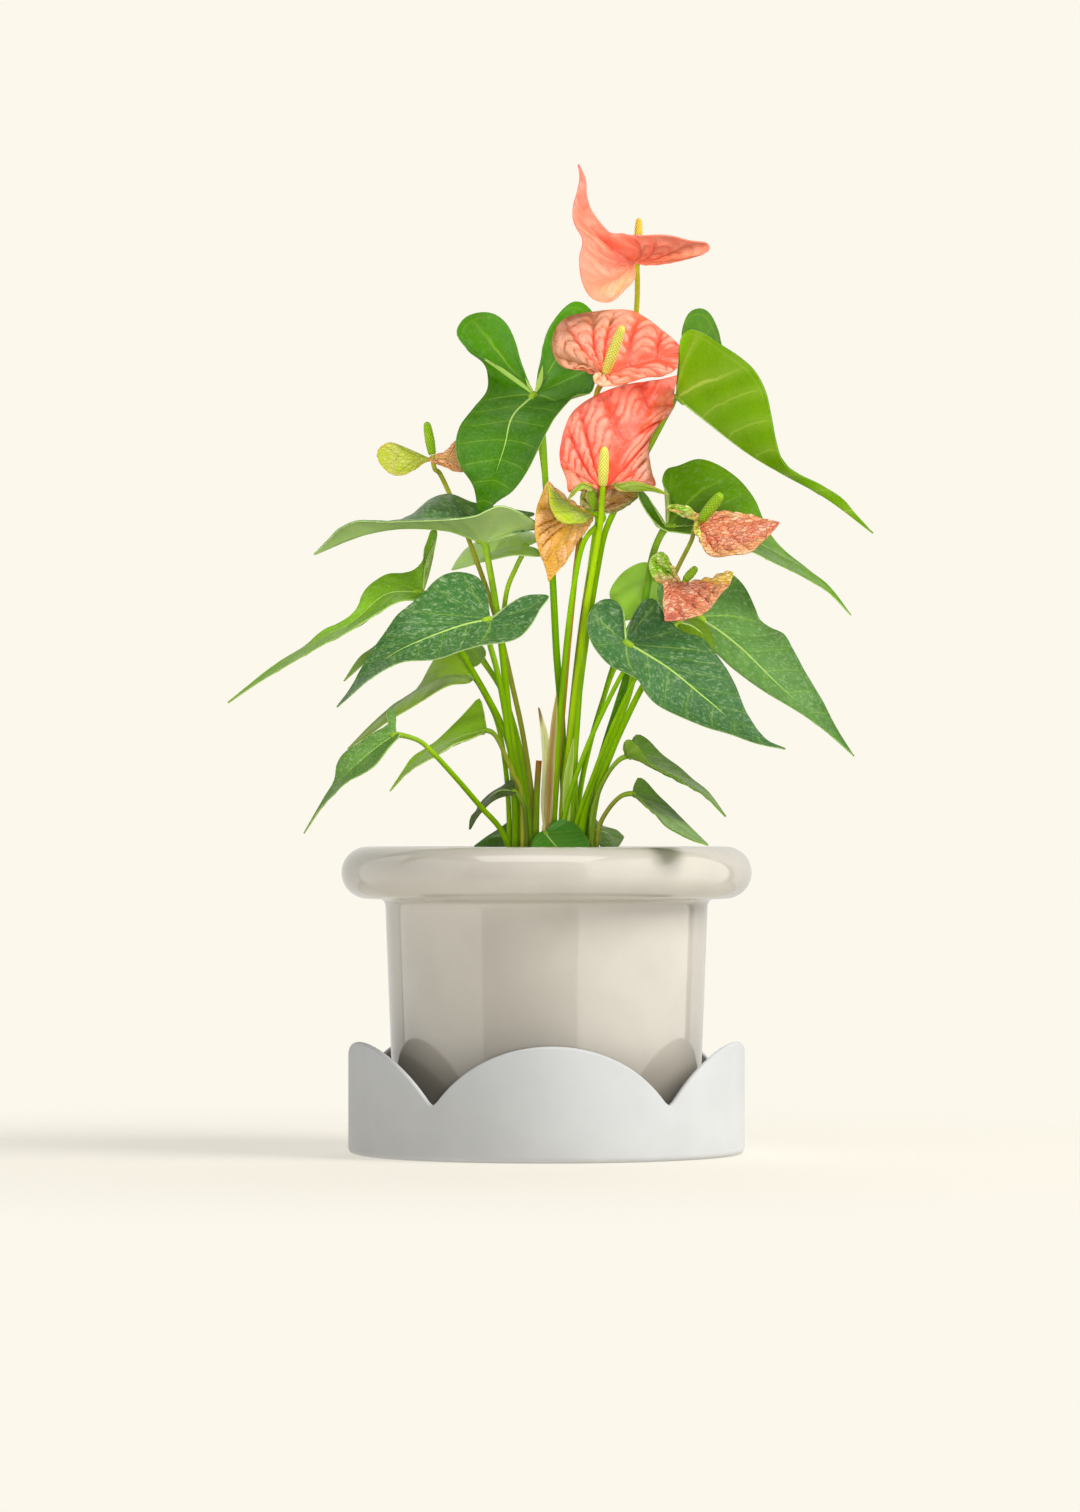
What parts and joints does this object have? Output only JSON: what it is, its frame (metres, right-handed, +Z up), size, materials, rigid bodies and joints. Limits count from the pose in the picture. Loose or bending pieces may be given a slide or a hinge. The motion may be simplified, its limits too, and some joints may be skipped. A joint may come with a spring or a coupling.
{
  "type": "potted anthurium",
  "caption": "Anthurium with heart-shaped leaves and coral spathes on long stems, in a glazed pot with a thick rolled rim, standing in a round saucer with a scalloped wall.",
  "frame": {"origin": "middle of the saucer's flat underside, on the pot's axis, at the surface that it stands on", "axes": "+Z up along the pot's axis, -Y towards the front of the plant as shown, +X to the right seen from the front"},
  "size_m": [0.3177, 0.2193, 0.4937],
  "materials": {
    "pot_glaze": "glossy",
    "saucer_clay": "matte",
    "potting_mix": "matte, loose",
    "leaf_green": "satin",
    "leaf_blue_green": "satin",
    "leaf_bright": "glossy",
    "leaf_pale": "satin",
    "leaf_brown": "matte",
    "stem_green": "satin",
    "spathe_coral": "glossy",
    "spathe_aged": "satin",
    "spathe_tan": "satin",
    "spathe_green": "satin",
    "spadix_yellow": "bumpy",
    "spadix_green": "bumpy",
    "sheath_pale": "papery",
    "sheath_brown": "papery"
  },
  "bodies": {
    "root": {"leaf_back_high": "leaf_green", "leaf_back_left": "leaf_green", "leaf_back_right": "leaf_green", "leaf_far_left": "leaf_green", "leaf_left_behind": "leaf_bright", "leaf_left_broad": "leaf_blue_green", "leaf_left_high": "leaf_green", "leaf_left_low": "leaf_blue_green", "leaf_left_rear": "leaf_green", "leaf_left_slim": "leaf_blue_green", "leaf_left_under": "leaf_bright", "leaf_right_behind": "leaf_pale", "leaf_right_broad": "leaf_blue_green", "leaf_right_high": "leaf_green", "leaf_right_long": "leaf_blue_green", "leaf_right_low": "leaf_green", "leaf_right_small": "leaf_blue_green", "leaf_right_young": "leaf_green", "leaf_rim_front": "leaf_green", "leaf_rim_left": "leaf_green", "leaf_rim_right": "leaf_green", "leaf_upper_left": "leaf_green", "leaf_upper_right": "leaf_bright", "leaf_withered": "leaf_brown", "peduncle_fourth": "stem_green", "peduncle_left": "stem_green", "peduncle_low_right": "stem_green", "peduncle_right": "stem_green", "peduncle_second": "stem_green", "peduncle_tan": "stem_green", "peduncle_third": "stem_green", "peduncle_top": "stem_green", "pot": "pot_glaze", "saucer": "saucer_clay", "sheath_brown": "sheath_brown", "sheath_green": "stem_green", "sheath_pale": "sheath_pale", "soil": "potting_mix", "spadix_fourth": "spadix_green", "spadix_left": "spadix_green", "spadix_low_right": "spadix_green", "spadix_right": "spadix_green", "spadix_second": "spadix_green", "spadix_tan": "spadix_green", "spadix_third": "spadix_green", "spadix_top": "spadix_yellow", "spathe_fourth": "spathe_aged", "spathe_left": "spathe_green", "spathe_low_right": "spathe_aged", "spathe_right": "spathe_aged", "spathe_second": "spathe_coral", "spathe_tan": "spathe_tan", "spathe_third": "spathe_coral", "spathe_top": "spathe_coral", "stem_stub": "stem_green"}
  },
  "joints": []
}
